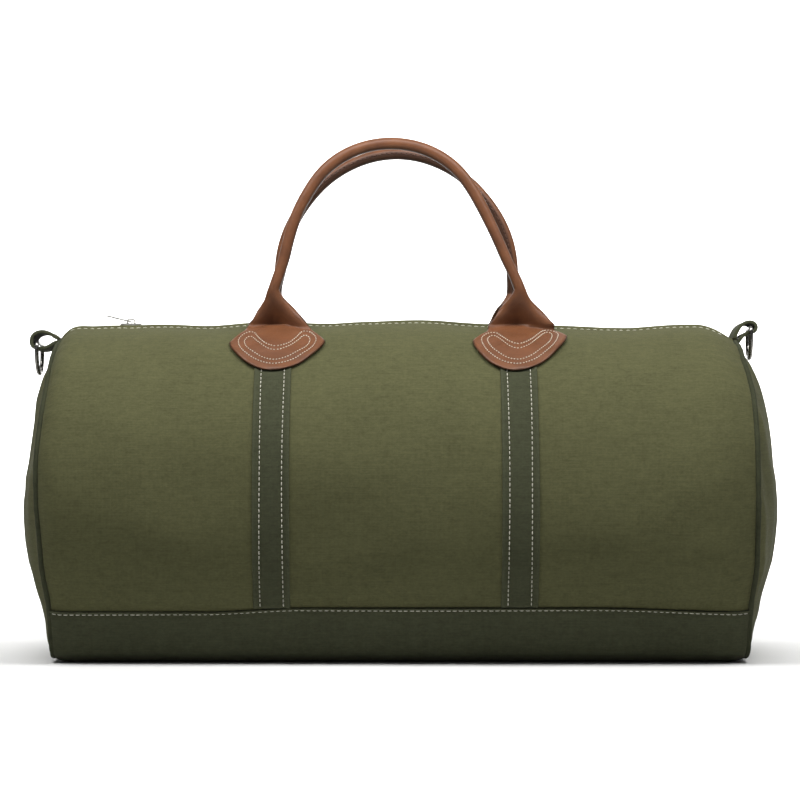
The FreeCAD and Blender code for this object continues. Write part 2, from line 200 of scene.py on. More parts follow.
def shell(name, outer, inner, uv, material, marks=None):
    """A closed sheet between two grids of points of the same shape."""
    rows, cols = outer.shape[:2]
    count = rows * cols
    faces = [grid_faces(rows, cols), grid_faces(rows, cols, count)[:, ::-1]]
    ring = np.concatenate([
        np.arange(cols),
        np.arange(1, rows) * cols + cols - 1,
        (rows - 1) * cols + np.arange(cols - 2, -1, -1),
        np.arange(rows - 2, 0, -1) * cols,
    ])
    after = np.roll(ring, -1)
    faces.append(np.stack([ring, after, after + count, ring + count], -1))
    points = np.concatenate([outer.reshape(-1, 3), inner.reshape(-1, 3)])
    twice = {k: np.tile(np.asarray(v).ravel(), 2) for k, v in (marks or {}).items()}
    both = np.tile(uv.reshape(-1, 2), (2, 1))
    return make_object(name, points, np.concatenate(faces), both, twice, material)


def frames_along(path, closed=False):
    """Two unit vectors across a path at each point, turning as little as they can."""
    path = np.asarray(path, float)
    if closed:
        tangent = unit(np.roll(path, -1, 0) - np.roll(path, 1, 0))
    else:
        tangent = unit(np.gradient(path, axis=0))
    side = np.cross(tangent[0], [0, 0, 1.0])
    if np.linalg.norm(side) < 0.1:
        side = np.cross(tangent[0], [0, 1.0, 0])
    first = [unit(side)]
    for t in tangent[1:]:
        carried = first[-1] - t * (first[-1] @ t)
        first.append(unit(carried))
    first = np.array(first)
    return first, np.cross(tangent, first)


def tube_faces(rows, cols, closed):
    """Faces round a tube, and either back to its first row or one across each end."""
    faces = [tuple(f) for f in grid_faces(rows, cols, wrap=True)]
    last = (rows - 1) * cols
    if closed:
        return faces + [(last + j, j, (j + 1) % cols, last + (j + 1) % cols) for j in range(cols)]
    return faces + [tuple(range(cols)), tuple(range(last, last + cols))]


def tube_parts(path, radius, sides=10, closed=False):
    """Points, faces and UVs of a round tube along a path, with its ends closed."""
    path = np.asarray(path, float)
    a, b = frames_along(path, closed)
    turn = np.arange(sides) / sides * TAU
    radius = np.broadcast_to(np.asarray(radius, float), (len(path),))[:, None, None]
    ring = a[:, None] * np.cos(turn)[None, :, None] + b[:, None] * np.sin(turn)[None, :, None]
    points = (path[:, None] + ring * radius).reshape(-1, 3)
    length = lengths_along(path)
    around = turn[None, :] * radius[:, :, 0]
    uv = np.stack(np.broadcast_arrays(length[:, None], around), -1).reshape(-1, 2)
    return points, tube_faces(len(path), sides, closed), uv


def tube(name, path, radius, material, sides=14, closed=False):
    points, faces, uv = tube_parts(path, radius, sides, closed)
    return make_object(name, points, faces, uv, None, material)


def joined(name, parts, material):
    """One object from several (points, faces, uv) parts."""
    points, faces, uvs, start = [], [], [], 0
    for p, f, uv in parts:
        points.append(p)
        faces += [tuple(int(i) + start for i in face) for face in f]
        uvs.append(uv)
        start += len(p)
    return make_object(name, np.concatenate(points), faces, np.concatenate(uvs), None, material)


# ---- The bag's form ----

def section(s, d):
    """(y, z) on the plain section, for arrays."""
    s, d = np.broadcast_arrays(np.asarray(s, float), np.asarray(d, float))
    side, t = np.sign(s), np.abs(s)
    arch_l = ARCH_SIDE * ARCH_R
    corner_l = (math.pi - ARCH_SIDE) * CORNER_R
    a = np.minimum(t / ARCH_R, ARCH_SIDE)
    y = (ARCH_R + d) * np.sin(a)
    z = ARCH_R + (ARCH_R + d) * np.cos(a)
    down = np.clip(t - arch_l, 0, SIDE_L)
    y = y - down * abs(math.cos(ARCH_SIDE))
    z = z - down * math.sin(ARCH_SIDE)
    bent = np.clip(t - arch_l - SIDE_L, 0, corner_l) / CORNER_R
    y = y + (CORNER_R + d) * (np.sin(ARCH_SIDE + bent) - math.sin(ARCH_SIDE))
    z = z + (CORNER_R + d) * (np.cos(ARCH_SIDE + bent) - math.cos(ARCH_SIDE))
    y = y - np.clip(t - arch_l - SIDE_L - corner_l, 0, None)
    shift = BASE_Z - (ARCH_R + ARCH_R * math.cos(ARCH_SIDE) - SIDE_L * math.sin(ARCH_SIDE)
                      + CORNER_R * (-1 - math.cos(ARCH_SIDE)))
    z = z + shift * smooth((t - arch_l) / SIDE_L)
    return -side * y, z


def narrowing(x, s):
    """How far the canvas is drawn in toward the end seams: a long soft shoulder at the right, a
    short tight one at the left, and hardly at all under the base."""
    low = smooth((np.abs(s) - 235) / 60)
    start = np.where(x < 0, 246.0, 236.0)
    start = start + (256.0 - start) * low
    power = np.where(x < 0, 3.0, 1.8)
    t = np.clip((np.abs(x) - start) / (SEAM_X - start), 0, 1.03)
    depth = END_DROP + 1.5 * smooth((150 - np.abs(s)) / 60) - 8.0 * low
    gather = 0.5 * soft_noise(s / 13.0, x / 40.0, 5) * hill(np.abs(x), SEAM_X - 6, 10) * (1 - low)
    return depth * t ** power - gather


def end_pull(x, s):
    """Along the barrel, the lower corners and the right end's top are pulled inward, and the left
    end's side swells out."""
    low = smooth((np.abs(s) - 262) / 40) * smooth((np.abs(x) - 190) / 80)
    high = smooth((125 - np.abs(s)) / 60) * smooth((x - 215) / 55)
    side = hill(np.abs(s), 190, 62) * smooth((-190 - x) / 80)
    return -3.2 * np.sign(x) * low - 3.6 * high - 4.2 * side


# Rises and dips of the top line, as (height, middle, width).
TOP_LINE = [(1.8, 15, 48), (-3.4, 172, 36), (-1.7, -152, 24), (0.9, -100, 26), (-1.2, -246, 14),
            (-0.8, -55, 14)]
# Swells and dents of the front, as (height, middle and width in x, middle and width in s).
SWELLS = [(4.5, 228, 46, 262, 42), (-2.2, 178, 40, 205, 40), (-2.4, -165, 46, 196, 34),
          (1.6, -225, 30, 150, 40), (1.8, 5, 52, 245, 48), (-1.0, -10, 30, 165, 30)]


def slack(x, s):
    """How far the filled canvas stands off its plain section: sags, soft dents and swells."""
    top = np.clip(np.cos(s / ARCH_R), 0, 1) ** 2
    line = sum(height * hill(x, *place) for height, *place in TOP_LINE)
    line += 0.6 * smooth((x + 215) / 20) * smooth((190 - x) / 25) - 0.3
    ridge = -0.9 * smooth((np.abs(s) - 8) / 9) * hill(np.abs(s), 17, 38)
    free = smooth((LAP_S - 6 - np.abs(s)) / 60) * smooth((SEAM_X - np.abs(x)) / 30)
    sway = 1.5 * soft_noise(x / 150, s / 120, 11) + 0.7 * soft_noise(x / 60, s / 70, 12)
    front = np.where(s > 0, 1.0, 0.0)
    swell = sum(height * hill(x, x0, w) * hill(s, s0, h) for height, x0, w, s0, h in SWELLS)
    return top * (line + ridge) + free * (sway * (1 - 0.6 * top) + swell * front)


GRID = 2.0
GRID_X = np.arange(-274, 274 + GRID, GRID)
GRID_S = np.arange(-426, 426 + GRID, GRID)


def make_form(filled=None):
    """The canvas's outer face on a fine grid, and its outward normals."""
    x, s = np.meshgrid(GRID_X, GRID_S, indexing="ij")
    d = slack(x, s) - narrowing(x, s)
    if filled is not None:
        d = d + filled
    y, z = section(s, d)
    points = np.stack([x + end_pull(x, s), y, z], -1)
    along = np.gradient(points, axis=0)
    around = np.gradient(points, axis=1)
    return points, unit(np.cross(around, along))


FORM, NORMALS = make_form()


def sampled(table, x, s):
    """Values of a table on the form's grid, at places on the canvas."""
    i = np.clip((x - GRID_X[0]) / GRID, 0, len(GRID_X) - 1.001)
    j = np.clip((s - GRID_S[0]) / GRID, 0, len(GRID_S) - 1.001)
    return looked_up(table, i, j)


def on_bag(x, s, d=0.0):
    """Points on the bag, for arrays of x, s and height d."""
    x, s, d = np.broadcast_arrays(*(np.asarray(v, float) for v in (x, s, d)))
    return sampled(FORM, x, s) + unit(sampled(NORMALS, x, s)) * d[..., None]


# ---- Filling the bag ----

CLOTH = {
    "quality": 5, "mass": 0.35, "air_damping": 3.0, "tension_stiffness": 30.0,
    "compression_stiffness": 30.0, "shear_stiffness": 12.0, "bending_stiffness": 2.0,
    "vertex_group_mass": "held", "pin_stiffness": 1.0, "use_pressure": True,
    "uniform_pressure_force": 3.0, "shrink_min": -0.012,
}
CLOTH_X, CLOTH_S = 81, 128  # the cloth's points along the barrel and round it
SETTLING = 24  # frames
FILL_LIMIT = 3.2
FILL_SOFTNESS = 35.0


def filled_by_cloth():
    """The canvas as simulated cloth, pushed out by what is inside and held along its seams, base,
    zip and bands. The result is how far it moved in or out, softly limited, on the form's grid."""
    xs = np.linspace(-SEAM_X, SEAM_X, CLOTH_X)
    ss = np.linspace(-HALF_GIRTH, HALF_GIRTH, CLOTH_S, endpoint=False)
    x, s = np.meshgrid(xs, ss, indexing="ij")
    rest = on_bag(x, s)
    bag = make_object("filling", rest.reshape(-1, 3), grid_faces(CLOTH_X, CLOTH_S, wrap=True))
    bands = sum(hill(x, centre, 15.0) for centre in BANDS.values())
    held = np.maximum.reduce([
        smooth((np.abs(x) - 258) / 10),
        smooth((np.abs(s) - LAP_S + 8) / 16),
        smooth((74 - np.abs(s)) / 44),
        0.04 * np.clip(bands, 0, 1),
    ])
    group = bag.vertex_groups.new(name="held")
    for index, weight in enumerate(held.ravel()):
        if weight > 0.001:
            group.add([index], float(weight), "REPLACE")
    cloth = bag.modifiers.new("cloth", "CLOTH")
    for key, value in CLOTH.items():
        setattr(cloth.settings, key, value)
    cloth.collision_settings.use_collision = False
    scene = bpy.context.scene
    for frame_number in range(1, SETTLING + 1):
        scene.frame_set(frame_number)
    shaped = bag.evaluated_get(bpy.context.evaluated_depsgraph_get())
    moved = points_of(shaped).reshape(rest.shape) - rest
    scene.frame_set(1)
    bpy.data.objects.remove(bag)
    out = FILL_LIMIT * np.tanh((moved * sampled(NORMALS, x, s)).sum(-1) / FILL_SOFTNESS)
    out = (np.roll(out, 1, 1) + 2 * out + np.roll(out, -1, 1)) / 4
    closed = np.concatenate([out, out[:, :1]], axis=1)
    i = np.clip((GRID_X + SEAM_X) / (xs[1] - xs[0]), 0, len(xs) - 1.001)
    j = np.clip((GRID_S + HALF_GIRTH) / (ss[1] - ss[0]), 0, len(ss) - 0.001)
    return looked_up(closed, *np.meshgrid(i, j, indexing="ij"))


FORM, NORMALS = make_form(filled_by_cloth())


# ---- Following the CAD bodies ----

MOUTH_HALF = (135.0, 226.0)  # the flap's share is full out to the first and none beyond the second, where its ends stay sewn down
MOUTH_S = (132.0, 222.0)


def mouth_weight(points):
    """Each point's share of its flap: lens-shaped, greatest at the middle of the zip."""
    x, y, z = points[:, 0], points[:, 1], points[:, 2]
    s = np.abs(np.arctan2(np.abs(y), z - ARCH_R)) * ARCH_R
    low, high = MOUTH_HALF
    share = smooth((high - np.abs(x)) / (high - low))
    return share * smooth((MOUTH_S[1] - s) / (MOUTH_S[1] - MOUTH_S[0]))


def sew(obj):
    """obj's placement is baked into its points, and each point's share of its flap is worked out by
    the lens above."""
    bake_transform(obj)
    share = mouth_weight(points_of(obj)).astype(np.float32)


def fix(obj, body):
    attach(obj, body)


SIGN = {"front": 1, "back": -1, "right": 1, "left": -1}


# ---- Materials ----

def tint(r, g, b):
    """An sRGB colour, 0 to 255, as linear RGBA."""
    def channel(c):
        c = c / 255
        return c / 12.92 if c <= 0.04045 else ((c + 0.055) / 1.055) ** 2.4
    return (*(channel(c) for c in (r, g, b)), 1.0)


def toned(color, share):
    """The colour made darker, or lighter where share is more than 1."""
    return (*(c * share for c in color[:3]), 1.0)


class Nodes:
    """Short ways to add and join shader nodes."""

    def __init__(self, name, **sockets):
        self.material = bpy.data.materials.new(name)
        self.material.use_nodes = True
        self.tree = self.material.node_tree
        self.shader = self.tree.nodes["Principled BSDF"]
        for key, value in sockets.items():
            self.shader.inputs[key.replace("_", " ")].default_value = value

    def put(self, target, value):
        if hasattr(value, "links"):
            self.tree.links.new(value, target)
        else:
            target.default_value = value

    def add(self, kind, out=0, inputs=None, **settings):
        node = self.tree.nodes.new(f"ShaderNode{kind}")
        for key, value in settings.items():
            setattr(node, key, value)
        for key, value in (inputs or {}).items():
            self.put(node.inputs[key], value)
        return node.outputs[out]

    def math(self, operation, a, b=0.0, clamp=False):
        return self.add("Math", inputs={0: a, 1: b}, operation=operation, use_clamp=clamp)

    def remap(self, value, low, high, to_low=0.0, to_high=1.0):
        return self.add("MapRange", inputs={
            "Value": value, "From Min": low, "From Max": high, "To Min": to_low, "To Max": to_high})

    def mix(self, share, a, b):
        node = self.tree.nodes.new("ShaderNodeMix")
        node.data_type = "RGBA"
        self.put(node.inputs[0], share)
        self.put(node.inputs[6], a)
        self.put(node.inputs[7], b)
        return node.outputs[2]

    def scaled(self, vector, scale):
        return self.add("Mapping", inputs={"Vector": vector, "Scale": scale})

    def noise(self, vector, scale=1.0, detail=2.0, roughness=0.5):
        return self.add("TexNoise", inputs={
            "Vector": vector, "Scale": scale, "Detail": detail, "Roughness": roughness})

    def ridges(self, vector, axis, distortion=0.0):
        """Bands one unit apart along an axis."""
        return self.add("TexWave", out=1, wave_type="BANDS", bands_direction=axis, inputs={
            "Vector": vector, "Scale": TAU / 20, "Distortion": distortion, "Detail": 1.0})

    def bump(self, height, strength, distance_mm, under=None):
        inputs = {"Height": height, "Strength": strength, "Distance": distance_mm * MM}
        if under is not None:
            inputs["Normal"] = under
        return self.add("Bump", inputs=inputs)

    def finish(self, color=None, roughness=None, normal=None):
        for key, value in (("Base Color", color), ("Roughness", roughness), ("Normal", normal)):
            if value is not None:
                self.tree.links.new(value, self.shader.inputs[key])
        return self.material

    def cloth(self):
        return self.add("UVMap", uv_map="cloth_mm")

    def mark(self, name):
        return self.add("Attribute", out=2, attribute_name=name)


def canvas_material(name, color, weave_mm=0.95, worn=None):
    """Plain-woven cotton: crossing yarns, slubs along the weft, soft blotches and rubbed edges."""
    n = Nodes(name, Sheen_Weight=0.02, Sheen_Roughness=0.5, Specular_IOR_Level=0.06)
    uv = n.cloth()
    yarns = n.scaled(uv, (1 / weave_mm, 1 / weave_mm, 1))
    across, along = n.ridges(yarns, "X", 0.3), n.ridges(yarns, "Y", 0.3)
    weave = n.math("MAXIMUM", across, along)
    slubs = n.noise(n.scaled(uv, (0.035, 1.1, 1)), 1.0, 3.0, 0.6)
    warp_slubs = n.noise(n.scaled(uv, (1.3, 0.05, 1)), 1.0, 2.0, 0.5)
    blotch = n.noise(uv, 0.022, 3.0, 0.55)
    fleck = n.noise(n.scaled(uv, (0.6, 1.0, 1)), 0.62, 2.0, 0.6)
    mottle = n.noise(n.scaled(uv, (0.7, 1.0, 1)), 0.2, 3.0, 0.6)
    dark = toned(color, 0.74)
    light = toned(color, 1.24)
    shade = n.math("ADD", n.remap(slubs, 0.3, 0.7, -0.10, 0.22), n.remap(blotch, 0.3, 0.7, 0.22, 0.42))
    shade = n.math("ADD", shade, n.remap(fleck, 0.35, 0.65, -0.14, 0.21))
    shade = n.math("ADD", shade, n.remap(mottle, 0.3, 0.7, -0.17, 0.19))
    shade = n.math("ADD", shade, n.remap(warp_slubs, 0.3, 0.7, -0.04, 0.08), clamp=True)
    face = n.mix(shade, dark, light)
    face = n.mix(n.remap(weave, 0.25, 0.0, 0.0, 0.35), face, toned(color, 0.45))
    if worn:
        rub = n.math("MULTIPLY", n.remap(n.mark("edge_mm"), 0.0, 2.6, 1.0, 0.0), fleck)
        face = n.mix(n.math("MULTIPLY", rub, 0.55), face, worn)
    under = n.bump(slubs, 0.35, 0.25)
    normal = n.bump(weave, 0.5, 0.22, under)
    return n.finish(face, n.remap(fleck, 0.3, 0.7, 0.82, 0.95), normal)


def leather_material(name, color, dark, rough=0.46):
    """Smooth-grained leather: fine pores, creases, uneven dye, darker cut edges, and painted shade
    on the rolls' underside and on their side facing the other handle."""
    n = Nodes(name, Specular_IOR_Level=0.30)
    uv = n.cloth()
    pores = n.add("TexVoronoi", inputs={"Vector": uv, "Scale": 1.15, "Randomness": 1.0})
    creases = n.noise(n.scaled(uv, (0.9, 0.35, 1)), 1.0, 5.0, 0.65)
    dye = n.noise(uv, 0.06, 4.0, 0.6)
    face = n.mix(n.remap(dye, 0.3, 0.72), dark, color)
    face = n.mix(n.remap(creases, 0.62, 0.42, 0.0, 0.30), face, dark)
    edge = n.remap(n.mark("edge_mm"), 0.0, 1.5, 0.75, 0.0)
    face = n.mix(edge, face, toned(dark, 0.32))
    # painted shade: the rolls are darkened on their underside and on the side facing the other handle
    face = n.mix(n.math("MULTIPLY", n.mark("roll_shade"), 0.8), face, toned(dark, 0.22))
    under = n.bump(creases, 0.30, 0.35)
    normal = n.bump(pores, 0.22, 0.18, under)
    return n.finish(face, n.remap(creases, 0.3, 0.7, rough - 0.07, rough + 0.12), normal)


def thread_material(name, color):
    """Twisted thread: slanting plies and a little soiling."""
    n = Nodes(name, Sheen_Weight=0.1, Specular_IOR_Level=0.3)
    uv = n.cloth()
    slanted = n.add("Mapping", inputs={"Vector": uv, "Rotation": (0, 0, 0.9)})
    twist = n.ridges(n.scaled(slanted, (2.2, 2.2, 1)), "X")
    soil = n.noise(uv, 0.6, 2.0, 0.5)
    face = n.mix(n.remap(soil, 0.35, 0.75, 0.0, 0.45), color, toned(color, 0.55))
    return n.finish(face, n.remap(soil, 0.3, 0.7, 0.6, 0.8), n.bump(twist, 0.5, 0.12))


def metal_material(name, color, rough=0.28):
    """Plated metal with rubbed patches and fine scratches."""
    n = Nodes(name, Metallic=1.0)
    where = n.add("TexCoord", out=3)
    haze = n.noise(where, 260.0, 3.0, 0.6)
    scratches = n.noise(n.scaled(where, (2600.0, 240.0, 900.0)), 1.0, 2.0, 0.5)
    face = n.mix(n.remap(haze, 0.35, 0.7, 0.0, 0.5), color, toned(color, 0.6))
    return n.finish(face, n.remap(haze, 0.3, 0.7, rough - 0.08, rough + 0.16), n.bump(scratches, 0.12, 0.05))


def board_material():
    """Stiff board covered with dark grained sheet."""
    n = Nodes("board", Specular_IOR_Level=0.3)
    where = n.add("TexCoord", out=3)
    grain = n.noise(where, 900.0, 3.0, 0.6)
    face = n.mix(grain, tint(34, 35, 28), tint(56, 57, 46))
    return n.finish(face, n.remap(grain, 0.3, 0.7, 0.6, 0.85), n.bump(grain, 0.4, 0.3))


CANVAS = canvas_material("olive_canvas", tint(77, 77, 52), worn=tint(96, 97, 72))
DARK_CANVAS = canvas_material("dark_canvas", tint(60, 62, 46), worn=tint(80, 83, 65))
PIPING = canvas_material("piping_canvas", tint(54, 56, 41), weave_mm=0.8)
TAPE = canvas_material("zip_tape", tint(50, 52, 39), weave_mm=0.6)
LEATHER = leather_material("brown_leather", tint(111, 69, 42), tint(85, 51, 30))
THREAD = thread_material("cream_thread", tint(184, 181, 166))
DARK_THREAD = thread_material("dark_thread", tint(60, 62, 46))
BROWN_THREAD = thread_material("brown_thread", tint(82, 50, 34))
ZIP_METAL = metal_material("zip_metal", tint(222, 221, 214), 0.42)
RING_METAL = metal_material("ring_metal", tint(128, 126, 121), 0.24)
BOARD = board_material()


# ---- Canvas pieces ----

def sheet_grid(xs, ss, rounding):
    """A sheet's grid of x and s, how far its face drops toward the edges, and how far in from the
    edges each point is."""
    xs, ss = with_edges(np.sort(xs), rounding), with_edges(np.sort(ss), rounding)
    x, s = np.meshgrid(xs, ss, indexing="ij")
    fall = np.maximum(rounded(xs, rounding)[:, None], rounded(ss, rounding)[None, :])
    edge = np.minimum(np.minimum(x - xs[0], xs[-1] - x), np.minimum(s - ss[0], ss[-1] - s))
    return x, s, fall, edge


def canvas(name, xs, ss, top, material, thickness=CANVAS_T, rounding=0.7, extra=None):
    """A closed piece of cloth lying on the form, its outer face at height top."""
    x, s, fall, edge = sheet_grid(xs, ss, rounding)
    lift = extra(x, s) if extra is not None else 0.0
    outer = on_bag(x, s, top - np.minimum(fall, thickness / 2) + lift)
    inner = on_bag(x, s, top - thickness + lift * 0.5)
    return shell(name, outer, inner, np.stack([x, s], -1), material, {"edge_mm": edge})


def stitch_rows(paths, name, material, period, thread=THREAD_R, fill=0.74, seed=1):
    """Separate stitches along each path of (points, normals), sunk into the cloth at both ends."""
    draw = np.random.default_rng(seed)
    parts = []
    for points, normals in paths:
        length = lengths_along(points)
        count = max(1, int(length[-1] / period))
        for k in range(count):
            a = (k + 0.5 - fill / 2 + draw.uniform(-0.03, 0.03)) * length[-1] / count
            b = a + fill * length[-1] / count * draw.uniform(0.94, 1.06)
            t = np.linspace(a, b, 6)
            centre, up = at_lengths(points, length, t), unit(at_lengths(normals, length, t))
            rise = thread * np.array([-1.5, 0.05, 0.6, 0.6, 0.05, -1.5])
            line = centre + up * rise[:, None]
            size = thread * np.array([0.7, 0.95, 1.0, 1.0, 0.95, 0.7])
            parts.append(tube_parts(line, size, 6))
    return joined(name, parts, material)


def line_on_bag(x, s, d):
    """(points, normals) along a straight or curved line given by arrays of x and s."""
    x, s = np.broadcast_arrays(np.asarray(x, float), np.asarray(s, float))
    return on_bag(x, s, d), unit(sampled(NORMALS, x, s))


def zip_hem(x, s):
    """The canvas is folded under along the zip and pressed down along its row of stitches."""
    t = np.abs(s) - ZIP_EDGE
    return 1.3 * hill(t, 2.0, 4.2) - 0.5 * hill(t, ZIP_STITCH, 1.3) + 0.2 * hill(t, 11.5, 2.5)


def lap_rise(x):
    """How far the base panel's edge is sewn on above its plain line: most along the middle."""
    return 1.5 + 3.9 * smooth((x + 150) / 75) * smooth((270 - x) / 130)


def lap_fold(x, s):
    """The base panel's edge is folded: a thick lip, then a groove along its stitches."""
    t = np.abs(s) - LAP_S
    return 1.0 * hill(t, 0.6, 1.8) - 0.55 * hill(t, LAP_STITCH, 1.1) + 0.3 * hill(t, 6.4, 2.6)


def build_panel(side):
    """One side's canvas, from the zip to behind the base panel's edge."""
    sign = SIGN[side]
    ss = sign * steps(ZIP_EDGE, LAP_S + PANEL_UNDER, 3.2)
    xs = steps(-SEAM_X + 0.6, SEAM_X - 0.6, 3.2)
    panel = canvas(f"{side}_panel", xs, ss, 0.0, CANVAS, extra=zip_hem)
    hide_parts(f"{side}_panel_upper", f"{side}_panel_lower")
    sew(panel)
    x = steps(-262, 259, 1.5)
    row = line_on_bag(x, sign * (ZIP_EDGE + ZIP_STITCH + 0.5 * np.sin(x / 37)), 0.0)
    thread = stitch_rows([row], f"{side}_zip_stitching", THREAD, 5.2, fill=0.82, seed=3)
    sew(thread)


def build_base():
    """The dark canvas under the bag, with a folded edge sewn on to the front and the back."""
    near = steps(0.0, 11.2, 0.8)
    far = 2 * HALF_GIRTH - LAP_S
    ss = np.concatenate([LAP_S + near, steps(LAP_S + 14, far - 14, 4.0), far - near])
    x, s, fall, edge = sheet_grid(steps(-SEAM_X + 0.6, SEAM_X - 0.6, 4.0), ss, 0.7)
    wrapped = np.where(s > HALF_GIRTH, s - 2 * HALF_GIRTH, s)
    lift = lap_fold(x, wrapped)
    wrapped = wrapped - np.sign(wrapped) * lap_rise(x) * smooth((LAP_S + 34 - np.abs(wrapped)) / 32)
    outer = on_bag(x, wrapped, SEWN_TOP - np.minimum(fall, CANVAS_T / 2) + lift)
    inner = on_bag(x, wrapped, SEWN_TOP - SEWN_T)
    base = shell("base_panel_cloth", outer, inner, np.stack([x, s], -1), DARK_CANVAS, {"edge_mm": edge})
    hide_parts("base_panel")
    fix(base, "bag")
    x = steps(-SEAM_X + 2, SEAM_X - 2, 1.5)
    row = LAP_S + LAP_STITCH - lap_rise(x) + 0.3 * np.sin(x / 45 + 1)
    rows = [line_on_bag(x, sign * row, 1.0) for sign in (1, -1)]
    thread = stitch_rows(rows, "base_stitching", THREAD, 4.6, thread=0.45, fill=0.86, seed=4)
    fix(thread, "bag")


def build_bands(side):
    """Two dark strips from under the leather down to the base panel, two rows of stitches each."""
    sign = SIGN[side]
    rows = []
    for end, centre in BANDS.items():
        def pressed(x, s, c=centre):
            t = np.abs(x - c)
            return 0.35 * hill(t, BAND_W / 2 - 1.2, 1.6) - 0.45 * hill(t, BAND_ROWS / 2, 1.1)
        foot = LAP_S - lap_rise(centre)
        ss = sign * steps(BAND_TOP_S, foot - 0.3, 3.0)
        xs = steps(centre - BAND_W / 2, centre + BAND_W / 2, 1.0)
        strip = canvas(f"{side}_{end}_band", xs, ss, SEWN_TOP, DARK_CANVAS, SEWN_T, extra=pressed)
        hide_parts(f"{side}_{end}_band_upper", f"{side}_{end}_band_lower")
        sew(strip)
        s = steps(BAND_TOP_S + 2, foot - 1.5, 1.0)
        for edge in (-1, 1):
            wander = 0.25 * np.sin(s / 31 + edge + centre)
            rows.append(line_on_bag(centre + edge * BAND_ROWS / 2 + wander, sign * s, 0.95))
    thread = stitch_rows(rows, f"{side}_band_stitching", THREAD, 4.0, thread=0.38, seed=5)
    sew(thread)


# ---- End panels, piping, bindings ----

def seam_ring(end, d, x=SEAM_X, count=300):
    """Points round the end seam, closed."""
    s = np.linspace(-HALF_GIRTH, HALF_GIRTH, count, endpoint=False)
    return on_bag(np.full(count, -x if end == "left" else x), s, d), s


# How far each end panel swells, by height: most just below its middle.
END_HEIGHTS = [3, 15, 30, 46, 62, 77, 93, 108, 124, 140, 155, 171, 186, 202, 217, 233, 245]
END_SWELL = {
    "left": [4, 4, 4.2, 7.5, 13.6, 18.5, 21.6, 23, 23.8, 22.7, 19, 16.1, 13.7, 13, 9.6, 4.9, 1],
    "right": [4.9, 6, 7.1, 10.9, 16.3, 20.9, 23.4, 24.8, 24.8, 23.8, 21.6, 19.4, 17, 13.8, 9.6, 5, 1],
}


def build_end(end):
    """A disc of canvas inside the piping, flat at its rim and swelling out with soft folds."""
    sign = SIGN[end]
    ring, s = seam_ring(end, 0.2)
    centre = np.array([sign * SEAM_X, 0.0, MID_Z])
    rho = np.concatenate([[1.0, 0.992, 0.98], np.linspace(0.965, 0.03, 46)])
    turn = np.arange(len(s)) / len(s) * TAU
    r, a = np.meshgrid(rho, turn, indexing="ij")
    flat = centre + (ring[None] - centre) * r[..., None]
    by_height = np.argsort(ring[:, 2])
    half = np.interp(flat[..., 2], ring[by_height, 2], np.abs(ring[by_height, 1]))
    beside = np.clip(np.abs(flat[..., 1]) / np.maximum(half, 1), 0, 1)
    swell = np.interp(flat[..., 2], END_HEIGHTS, END_SWELL[end]) * (1 - beside ** 3.0)
    if end == "right":
        swell = swell - 2.0 * hill(flat[..., 2], 26, 7) * (1 - beside ** 2)
    low = np.clip((150 - flat[..., 2]) / 110, 0, 1)
    folds = 0.8 * soft_noise(np.cos(a) * 1.6 * r, np.sin(a) * 1.6 * r, 21 + sign)
    folds += 1.1 * soft_noise(flat[..., 1] / 26 + flat[..., 2] / 90, flat[..., 2] / 120, 33 + sign)
    folds += 0.7 * soft_noise(a * 2.0, r * 1.2, 24 + sign) * hill(r, 0.9, 0.1)
    folds += 0.8 * soft_noise(a * 4.2, r * 0.7, 27 + sign) * hill(r, 0.88, 0.1) * low
    out = swell * smooth((1 - r) / 0.09 + 0.25) + folds * smooth((1 - r) / 0.08)
    out = out * smooth((1 - r) / 0.02)
    rim = (sign * ring[None, :, 0] - SEAM_X) * (1 - smooth((1 - r) / 0.22))
    flat[..., 0] = sign * (SEAM_X + 1.0 + out + np.minimum(rim, np.maximum(0.6, 4.4 - out)))
    tip = [[sign * (SEAM_X + 1.0 + out[-1].mean()), 0, MID_Z]]
    outer = np.concatenate([flat.reshape(-1, 3), tip])
    points = np.concatenate([outer, outer - [sign * END_T, 0, 0]])
    rows, cols = r.shape
    count = rows * cols
    faces = [tuple(f) for f in grid_faces(rows, cols, wrap=True)]
    last = (rows - 1) * cols
    faces += [(last + j, last + (j + 1) % cols, count) for j in range(cols)]
    more = count + 1
    faces += [tuple(i + more for i in reversed(f)) for f in faces]
    faces += [(j, (j + 1) % cols, more + (j + 1) % cols, more + j) for j in range(cols)]
    uv = points[:, [1, 2]]
    edge = np.concatenate([((1 - r) * 120).ravel(), [120]])
    panel = make_object(f"{end}_end_cloth", points, faces, uv, {"edge_mm": np.tile(edge, 2)}, CANVAS)
    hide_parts(f"{end}_end_panel")
    fix(panel, "bag")


def build_piping(end):
    """The corded piping round an end seam, and the binding tape inside it."""
    sign = SIGN[end]
    ring, s = seam_ring(end, 0.4)
    radius = PIPING_R + 0.12 * soft_noise(s / 9, s * 0, 31 + sign)
    pipe = tube(f"{end}_piping_cloth", ring, radius, PIPING, 14, closed=True)
    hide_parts(f"{end}_piping", f"{end}_piping_cord")
    fix(pipe, "bag")
    inner, _ = seam_ring(end, -2.6, SEAM_X - 4.2)
    outer, _ = seam_ring(end, -2.6, SEAM_X - 0.4)
    middle, outward = (inner + outer) / 2, (inner - [0, 0, MID_Z]) * [0, 1, 1]
    rows = np.stack([inner, middle - outward * 0.012, outer, middle + outward * 0.004], 0)
    uv = np.stack([np.tile(s, 4), np.repeat(np.arange(4) * 5.0, len(s))], -1)
    faces = tube_faces(4, len(s), True)
    tape = make_object(f"{end}_binding_tape", rows.reshape(-1, 3), faces, uv, None, PIPING)
    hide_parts(f"{end}_seam_binding")
    fix(tape, "bag")


# ---- Zip ----

